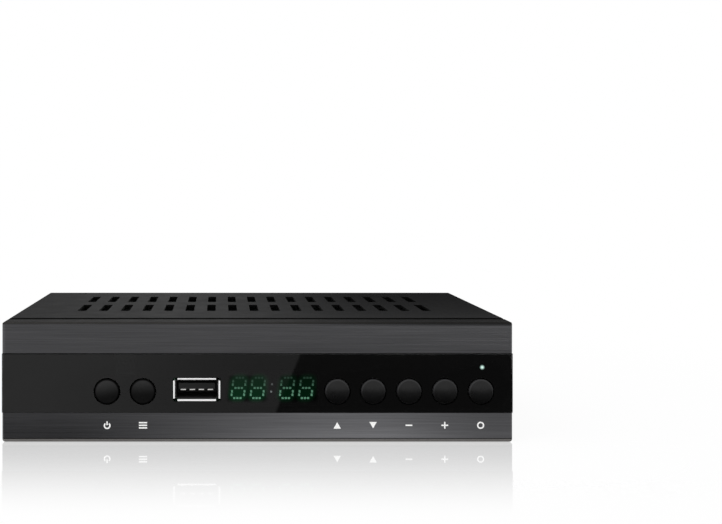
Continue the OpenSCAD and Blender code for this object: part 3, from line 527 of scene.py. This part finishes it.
# Finishes of the slots
FINISHES = {
    "bezel_plastic": bezel_finish("bezel_plastic"),
    "lens_acrylic": smoked_acrylic("lens_acrylic"),
    "cover_paint": cover_finish("cover_paint"),
    "pan_steel": powder_coat("pan_steel", (0.045, 0.045, 0.046), 0.55, 0.25),
    "foot_rubber": moulded("foot_rubber", (0.02, 0.02, 0.02), 0.75, cells=1.2, depth=0.05),
    "black_screw": plated("black_screw", (0.06, 0.06, 0.06), 0.38),
    "standoff_brass": plated("standoff_brass", (0.60, 0.47, 0.20), 0.3),
    "bright_screw": plated("bright_screw", (0.60, 0.60, 0.60), 0.3),
    "board_laminate": moulded("board_laminate", (0.03, 0.13, 0.06), 0.4, cells=0.6, spread=0.2),
    "switch_body": moulded("switch_body", (0.02, 0.02, 0.02)),
    "button_plastic": right_button_finish("button_plastic"),
    "plunger_nylon": moulded("plunger_nylon", (0.70, 0.67, 0.58), 0.5),
    "display_face": display_face("display_face"),
    "lit_segment": lit_dots("lit_segment"),
    "light_pipe": lit_pipe("light_pipe"),
    "sensor_resin": moulded("sensor_resin", (0.02, 0.012, 0.02), 0.15, depth=0.002),
    "nickel_sleeve": plated("nickel_sleeve", (0.72, 0.72, 0.70), 0.2),
    "socket_black": moulded("socket_black", (0.010, 0.010, 0.010), 0.4, specular=0.2),
    "gold_contact": plated("gold_contact", (0.90, 0.84, 0.68), 0.4),
    "tinned_steel": plated("tinned_steel", (0.62, 0.63, 0.64), 0.35),
    "insulator_white": moulded("insulator_white", (0.80, 0.79, 0.74), 0.45),
    "insert_yellow": moulded("insert_yellow", (0.80, 0.50, 0.02), 0.35),
    "insert_white": moulded("insert_white", (0.85, 0.85, 0.83), 0.35),
    "insert_red": moulded("insert_red", (0.50, 0.02, 0.015), 0.35),
    "chip_resin": moulded("chip_resin", (0.015, 0.015, 0.016), 0.55),
    "sink_aluminium": plated("sink_aluminium", (0.60, 0.61, 0.63), 0.4),
    "capacitor_sleeve": moulded("capacitor_sleeve", (0.02, 0.025, 0.04), 0.3),
    "ribbon_grey": moulded("ribbon_grey", (0.35, 0.36, 0.37), 0.5),
}

# Finishes of single pieces, where they differ from the rest of their slot
PIECE_FINISHES = {
    "usb_shell": socket_shell("usb_nickel", "usb_shell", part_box("usb_shell")[0].y, 0.5),
    "hdmi_shell": socket_shell("hdmi_nickel", "hdmi_shell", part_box("hdmi_shell")[1].y, 0.35),
    "upper_trim": upper_strip("upper_trim_metal", (0.085, 0.085, 0.089), 0.34),
    "lower_trim": lower_strip("lower_trim_metal", (0.080, 0.080, 0.084), 0.34),
    "usb_contacts": plated("usb_plating", (0.93, 0.92, 0.90), 0.45),
}
for name in LEFT_BUTTONS:
    PIECE_FINISHES[name + "_cap"] = left_button_finish(name + "_satin")
for name in BUTTONS:
    PIECE_FINISHES[name + "_sign"] = moulded(name + "_ink", (0.96, 0.96, 0.95), 0.6, depth=0.004, spread=0.03)


def finish_of(name, slot):
    """The finish of a piece: its own, or else its slot's."""
    if name in PIECE_FINISHES:
        return PIECE_FINISHES[name]
    return FINISHES[slot]


# Solids of the frame: each gets its finish, and the edges of the large ones are broken

def merge(piece):
    """Merge the loose triangles, and shade the piece smoothly."""
    weld = piece.modifiers.new("merge", "WELD")
    weld.merge_threshold = 1e-6
    piece.data.shade_smooth()


def soften(piece, width):
    """Make flat faces of the triangles, and round the edges."""
    merge(piece)
    flat = piece.modifiers.new("flat_faces", "DECIMATE")
    flat.decimate_type = "DISSOLVE"
    flat.angle_limit = math.radians(0.5)
    edge = piece.modifiers.new("broken_edges", "BEVEL")
    edge.width = width
    edge.segments = 2
    edge.limit_method = "ANGLE"
    edge.angle_limit = math.radians(30)
    edge.use_clamp_overlap = True
    even = piece.modifiers.new("even_shading", "WEIGHTED_NORMAL")
    even.keep_sharp = False


def smooth_rounds(piece):
    """Shade the round faces smoothly, and keep the edges crisp."""
    merge(piece)
    split = piece.modifiers.new("crisp_edges", "EDGE_SPLIT")
    split.split_angle = math.radians(30)


slot_of = {row["node"]: row["material_slot"] for row in frame["record"]["subparts"]}
for name, piece in nodes.items():
    piece.data.materials.clear()
    piece.data.materials.append(finish_of(name, slot_of[name]))
    if name in EDGES:
        soften(piece, EDGES[name])
    elif name != "lens_panel":
        smooth_rounds(piece)


# Pieces modelled here

def object_of(name, shape, material):
    """An object in the scene, from a bmesh and a material."""
    mesh = bpy.data.meshes.new(name)
    shape.to_mesh(mesh)
    shape.free()
    mesh.materials.append(material)
    made = bpy.data.objects.new(name, mesh)
    bpy.context.scene.collection.objects.link(made)
    return made


def new_piece(name, shape, slot, body, *replaced):
    """A piece of the object, with its finish, its body and the nodes that it stands for."""
    piece = object_of(name, shape, finish_of(name, slot))
    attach(piece, body)
    if replaced:
        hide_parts(*replaced)


def cap_profile(front, back, flange_r):
    """Half of a button's section, as radius and depth: domed face, rounded rim, side, flange and stem."""
    dome_steps = 10
    rim_steps = 6
    face_r = CAP_R - CAP_RIM
    tilt = math.atan(2 * CAP_DOME / face_r)
    rim_r = CAP_RIM / (1 - math.sin(tilt))
    profile = [(face_r * i / dome_steps, front + CAP_DOME * (i / dome_steps) ** 2)
               for i in range(dome_steps + 1)]
    for i in range(1, rim_steps + 1):
        turn = tilt + (math.pi / 2 - tilt) * i / rim_steps
        out = math.sin(turn) - math.sin(tilt)
        back_by = math.cos(tilt) - math.cos(turn)
        profile.append((face_r + rim_r * out, front + CAP_DOME + rim_r * back_by))
    flange_front = FRONT_Y + FLANGE_FRONT
    flange_back = FRONT_Y + FLANGE_BACK
    profile += [(CAP_R, flange_front), (flange_r, flange_front), (flange_r, flange_back)]
    profile += [(STEM_R, flange_back), (STEM_R, back), (0, back)]
    return profile


def button_cap(name):
    """A turned push button."""
    low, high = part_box(name + "_button")
    middle = (low + high) / 2
    shape = bmesh.new()
    profile = cap_profile(low.y, high.y, (high.x - low.x) / 2)
    line = [shape.verts.new((middle.x + r, y, middle.z)) for r, y in profile]
    edges = [shape.edges.new(pair) for pair in zip(line, line[1:])]
    bmesh.ops.spin(shape, geom=line + edges, cent=middle, axis=(0, 1, 0),
                   angle=FULL_TURN, steps=72, use_merge=True)
    bmesh.ops.remove_doubles(shape, verts=shape.verts, dist=1e-7)
    bmesh.ops.recalc_face_normals(shape, faces=shape.faces)
    for face in shape.faces:
        face.smooth = True
    crisp_angle = math.radians(20)
    for edge in shape.edges:
        edge.smooth = edge.calc_face_angle(0) < crisp_angle
    new_piece(name + "_cap", shape, "button_plastic", "button_" + name, name + "_button")


for name in BUTTONS:
    button_cap(name)


# Signs under the buttons, printed on the lower strip

def bar(shape, x, z, width, height):
    """A printed bar about a point."""
    place = Matrix.Translation((x, TRIM_Y, z))
    bmesh.ops.create_cube(shape, size=1, matrix=place @ Matrix.Diagonal((width, 2 * INK, height, 1)))


def ring(shape, x, z, radius, start=0.0, angle=FULL_TURN):
    """A printed ring or arc about a point, as a swept bar."""
    corners = [(radius - STROKE, -INK), (radius, -INK), (radius, INK), (radius - STROKE, INK)]
    across, up = math.sin(start), math.cos(start)
    loop = [shape.verts.new((x + r * across, TRIM_Y + y, z + r * up)) for r, y in corners]
    sides = [shape.edges.new(pair) for pair in zip(loop, loop[1:] + loop[:1])]
    full = angle == FULL_TURN
    caps = [] if full else [shape.faces.new(loop)]
    bmesh.ops.spin(shape, geom=caps + sides + loop, cent=(x, TRIM_Y, z), axis=(0, 1, 0),
                   angle=angle, steps=40, use_merge=full)


def thicken(shape, faces):
    """Give flat printed faces the ink's thickness."""
    grown = bmesh.ops.extrude_face_region(shape, geom=faces)
    moved = [item for item in grown["geom"] if isinstance(item, bmesh.types.BMVert)]
    bmesh.ops.translate(shape, verts=moved, vec=(0, -2 * INK, 0))


def triangle(shape, x, z, up):
    """A printed triangle that points up where up is 1, and down where it is -1."""
    tilt = Matrix.Rotation(math.radians(90), 4, "X") @ Matrix.Rotation(math.radians(90 - 90 * up), 4, "Z")
    place = Matrix.Translation((x, TRIM_Y + INK, z - up * SIGN_H / 6))
    made = bmesh.ops.create_circle(shape, cap_ends=True, segments=3, radius=SIGN_H * 0.6, matrix=place @ tilt)
    thicken(shape, list({face for vert in made["verts"] for face in vert.link_faces}))


def plus(shape, x, z, size):
    """A printed plus, four times the same corner."""
    thin = STROKE / 2
    half = size / 2
    corners = [(thin, half), (thin, thin), (half, thin)]
    outline = []
    for quarter in range(4):
        outline += [shape.verts.new((x + a, TRIM_Y + INK, z + b)) for a, b in corners]
        corners = [(b, -a) for a, b in corners]
    thicken(shape, [shape.faces.new(outline)])


def sign(name):
    """The sign of one button, in shares of its height."""
    low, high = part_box(name + "_button")
    x = (low.x + high.x) / 2
    shape = bmesh.new()
    if name == "power":
        gap = math.radians(40)
        ring(shape, x, SIGN_Z - SIGN_H * 0.05, SIGN_H * 0.48, gap, FULL_TURN - 2 * gap)
        bar(shape, x, SIGN_Z + SIGN_H * 0.28, STROKE, SIGN_H * 0.52)
    elif name == "menu":
        for step in (-1, 0, 1):
            bar(shape, x, SIGN_Z + step * SIGN_H * 0.36, SIGN_H * 1.15, STROKE)
    elif name == "channel_up":
        triangle(shape, x, SIGN_Z, 1)
    elif name == "channel_down":
        triangle(shape, x, SIGN_Z, -1)
    elif name == "volume_down":
        bar(shape, x, SIGN_Z, SIGN_H * 0.95, STROKE)
    elif name == "volume_up":
        plus(shape, x, SIGN_Z, SIGN_H * 0.95)
    else:
        ring(shape, x, SIGN_Z, SIGN_H * 0.5)
    bmesh.ops.recalc_face_normals(shape, faces=shape.faces)
    new_piece(name + "_sign", shape, "insert_white", "case")


for name in BUTTONS:
    sign(name)


# Studio: floor, soft light, and cards that only show in reflections

# Floor: half its width in metres, shares of its mirror and its shade, and how far round the object they reach
FLOOR_HALF = 4
FLOOR_MIRROR = 0.37
FLOOR_MIRROR_REACH = 80 * MM
FLOOR_SHADE = 0.06
FLOOR_SHADE_REACH = 200 * MM
UNDER_SHADE = 0.9

# Cards, in metres: their gap to the object and the floor, and their widths, lengths and height
CARD_GAP = 0.3 * MM
FRONT_CARD_W = 0.30
LENS_CARD_L = 0.42
STRIP_CARD_L = 0.06
TOP_CARD_W = 0.60
TOP_CARD_H = 0.16

# Slanted edge on the lens card, which leans to the right with its distance from the lens
LENS_EDGE_LEAN = 0.1323
# Two dark flags on the lens card, one before each pair of digits: middle at the lens, and lean to the right
FLAGS = ((-3.2 * MM, 0.0225), (12.4 * MM, 0.0672))

# Place of the camera, which stands level before the left half
CAMERA_X = -11.1 * MM
CAMERA_Z = 78.5 * MM
CAMERA_AWAY = 349.4 * MM


def bare_material(name):
    """A material with no nodes yet."""
    material = bpy.data.materials.new(name)
    material.use_nodes = True
    material.node_tree.nodes.clear()
    return material


def use_surface(material, shader):
    """Make the shader the material's surface."""
    out = add(material, "ShaderNodeOutputMaterial")
    join(material, shader, out.inputs["Surface"])


def floor_mirror(material, along, beside, away):
    """Share of the mirror in the floor: less further away, and none beside the object."""
    ends = ease(material, along, -FRONT_Y - 2 * MM, -FRONT_Y + 8 * MM, 0, 1)
    within = ease(material, beside, 0, 0.5 * MM, 1, 0)
    fade = ease(material, away, 0, FLOOR_MIRROR_REACH, FLOOR_MIRROR, 0)
    return combine(material, "MULTIPLY", fade, combine(material, "MAXIMUM", ends, within))


def floor_shade(material, place, past_side, away):
    """Share of the shaded paper in the floor: most under the object, and little round it."""
    past_front = combine(material, "SUBTRACT", FRONT_Y, place["Y"])
    past_rear = combine(material, "SUBTRACT", place["Y"], COVER_REAR)
    past_end = combine(material, "MAXIMUM", past_front, past_rear)
    past = combine(material, "MAXIMUM", past_side, past_end)
    under = ease(material, past, -3 * MM, -0.5 * MM, UNDER_SHADE, 0)
    fade = ease(material, away, 0, FLOOR_SHADE_REACH, FLOOR_SHADE, 0)
    return combine(material, "MAXIMUM", fade, under)


def floor_finish(name):
    """White floor that keeps the object's shadow and mirrors the object faintly."""
    material = bare_material(name)
    place = axes(material)
    along = offset(material, place["Y"], 0)
    past_side = combine(material, "SUBTRACT", offset(material, place["X"], 0), HALF_W)
    beside = combine(material, "MAXIMUM", past_side, 0)
    away = corner(material, beside, combine(material, "SUBTRACT", along, HALF_D))
    paper = add(material, "ShaderNodeBsdfDiffuse", Color=(0.85, 0.85, 0.85, 1)).outputs["BSDF"]
    white = add(material, "ShaderNodeEmission", Strength=1.0).outputs["Emission"]
    gloss = add(material, "ShaderNodeBsdfGlossy", Color=(1, 1, 1, 1), Roughness=0.03).outputs["BSDF"]
    seen = mix(material, floor_shade(material, place, past_side, away), white, paper)
    polished = mix(material, floor_mirror(material, along, beside, away), seen, gloss)
    use_surface(material, mix(material, background_rays(material), paper, polished))
    return material


def stage_floor():
    """A large flat floor."""
    shape = bmesh.new()
    bmesh.ops.create_grid(shape, x_segments=1, y_segments=1, size=FLOOR_HALF)
    floor = object_of("floor", shape, floor_finish("floor_white"))


def studio_world(level):
    """White to the camera and in reflections, a plain soft light on the object."""
    world = bpy.data.worlds.new("studio")
    bpy.context.scene.world = world
    world.use_nodes = True
    world.node_tree.nodes.clear()
    strength = add(world, "ShaderNodeMapRange", To_Min=level, To_Max=1.0)
    light = add(world, "ShaderNodeBackground", Color=(1, 1, 1, 1))
    out = add(world, "ShaderNodeOutputWorld")
    join(world, background_rays(world), strength.inputs["Value"])
    join(world, strength.outputs["Result"], light.inputs["Strength"])
    join(world, light.outputs["Background"], out.inputs["Surface"])


def softbox(name, place, target, size, watts):
    """Square lamp at a place, turned to a target, that leaves no highlight of its own."""
    lamp = bpy.data.lights.new(name, "AREA")
    lamp.size = size
    lamp.energy = watts
    holder = bpy.data.objects.new(name, lamp)
    holder.location = place
    holder.rotation_euler = (Vector(target) - Vector(place)).to_track_quat("-Z", "Y").to_euler()
    holder.visible_glossy = False
    holder.visible_camera = False
    bpy.context.scene.collection.objects.link(holder)


def card_finish(name, level, reach):
    """Glow of a card's front side, clear to what is further away than its reach."""
    material = bare_material(name)
    glow = add(material, "ShaderNodeEmission")
    side = add(material, "ShaderNodeNewGeometry")
    clear = add(material, "ShaderNodeBsdfTransparent")
    path = add(material, "ShaderNodeLightPath")
    beyond = combine(material, "GREATER_THAN", path.outputs["Ray Length"], reach)
    hidden = combine(material, "MAXIMUM", side.outputs["Backfacing"], beyond)
    join(material, level(material, axes(material)), glow.inputs["Strength"])
    use_surface(material, mix(material, hidden, glow.outputs["Emission"], clear.outputs["BSDF"]))
    return material


def reflector(name, place, width, length, level, reach=1.0):
    """A card that only shows in reflections, up to its reach; level gives its brightness."""
    shape = bmesh.new()
    spread = place @ Matrix.Diagonal((width, length, 1, 1))
    bmesh.ops.create_grid(shape, x_segments=1, y_segments=1, size=0.5, matrix=spread)
    card = object_of(name, shape, card_finish(name, level, reach))
    card.visible_camera = False
    card.visible_diffuse = False
    card.visible_shadow = False
    card.visible_volume_scatter = False


def lying(height, length):
    """Place of a card that lies before the object, from its face outwards."""
    return Matrix.Translation((0, FRONT_Y - CARD_GAP - length / 2, height))


def standing(rear, foot, height):
    """Place of a card that stands behind the cover and faces the front."""
    return Matrix.Translation((0, rear, foot + height / 2)) @ Matrix.Rotation(math.radians(90), 4, "X")


def display_flags(material, x, ahead):
    """Share of the card's light that its dark flags leave; they keep its glare off the digits."""
    left, right = [combine(material, "ADD", combine(material, "MULTIPLY", ahead, lean), middle)
                   for middle, lean in FLAGS]
    aside = combine(material, "MINIMUM", offset(material, x, left), offset(material, x, right))
    across = ease(material, aside, 5.2 * MM, 7.6 * MM, 1, 0)
    near_end = ease(material, ahead, 12 * MM, 26 * MM, 0, 1)
    far_end = ease(material, ahead, 63 * MM, 75 * MM, 1, 0)
    flags = combine(material, "MULTIPLY", across, combine(material, "MULTIPLY", near_end, far_end))
    left_over = ease(material, ahead, 28 * MM, 60 * MM, 0.20, 0.38)
    return ease(material, flags, 0, 1, 1.0, left_over)


def lens_level(material, place):
    """Light on the left, dark on the right of a slanted edge, and further out lighter to the right."""
    x = place["X"]
    ahead = combine(material, "SUBTRACT", FRONT_Y, place["Y"])
    slanted_x = combine(material, "SUBTRACT", x, combine(material, "MULTIPLY", ahead, LENS_EDGE_LEAN))
    left = ease(material, x, -85 * MM, 12 * MM, 0.60, 0.36)
    near = ease(material, slanted_x, 4.9 * MM, 6.1 * MM, left, 0.09)
    near = combine(material, "MULTIPLY", near, display_flags(material, x, ahead))
    fade = ease(material, ahead, 123 * MM, 190 * MM, 0.62, 0.30)
    far = combine(material, "MULTIPLY", fade, ease(material, x, -110 * MM, 120 * MM, 0.70, 4.2))
    return ease(material, ahead, 121 * MM, 125 * MM, near, far)


def strip_level(material, place):
    """A glow that peaks right of the middle."""
    x = place["X"]
    ahead = combine(material, "SUBTRACT", FRONT_Y, place["Y"])
    rise = ease(material, x, -65 * MM, 42 * MM, 0.10, 1.65)
    fall = ease(material, x, 34 * MM, 80 * MM, 1.0, 0.45)
    foot = ease(material, ahead, 0, 16 * MM, 1.5, 1.0)
    return combine(material, "MULTIPLY", combine(material, "MULTIPLY", rise, fall), foot)


def top_level(material, place):
    """Light left of the middle, and darker to both sides."""
    rise = ease(material, place["X"], -125 * MM, -20 * MM, 0.25, 0.90)
    fall = ease(material, place["X"], -34 * MM, 54 * MM, 1.0, 0.0)
    return combine(material, "MULTIPLY", rise, fall)


def photo_camera():
    """Camera with its frame shifted to the photographed place."""
    lens = bpy.data.cameras.new("camera")
    lens.sensor_width = 36
    lens.lens = 56.84
    lens.shift_x = 0.19365
    lens.shift_y = -0.10472
    lens.clip_start = 0.01
    camera = bpy.data.objects.new("camera", lens)
    camera.location = (CAMERA_X, FRONT_Y - CAMERA_AWAY, CAMERA_Z)
    camera.rotation_euler = (math.radians(90), 0, 0)
    bpy.context.scene.collection.objects.link(camera)
    bpy.context.scene.camera = camera


stage_floor()
studio_world(level=0.8)
softbox("key", place=(-0.30, -0.30, 0.50), target=(0, 0, 0.02), size=0.4, watts=1.6)
reflector("lens_card", lying(LENS_LOW - 0.05 * MM, LENS_CARD_L), FRONT_CARD_W, LENS_CARD_L, lens_level)
reflector("strip_card", lying(CARD_GAP, STRIP_CARD_L), FRONT_CARD_W, STRIP_CARD_L, strip_level)
reflector("top_card", standing(COVER_REAR + 2 * MM, COVER_TOP + CARD_GAP, TOP_CARD_H), TOP_CARD_W, TOP_CARD_H,
          top_level, reach=COVER_REAR - FRONT_Y + 14 * MM)
photo_camera()
bpy.context.scene.view_settings.view_transform = "Standard"
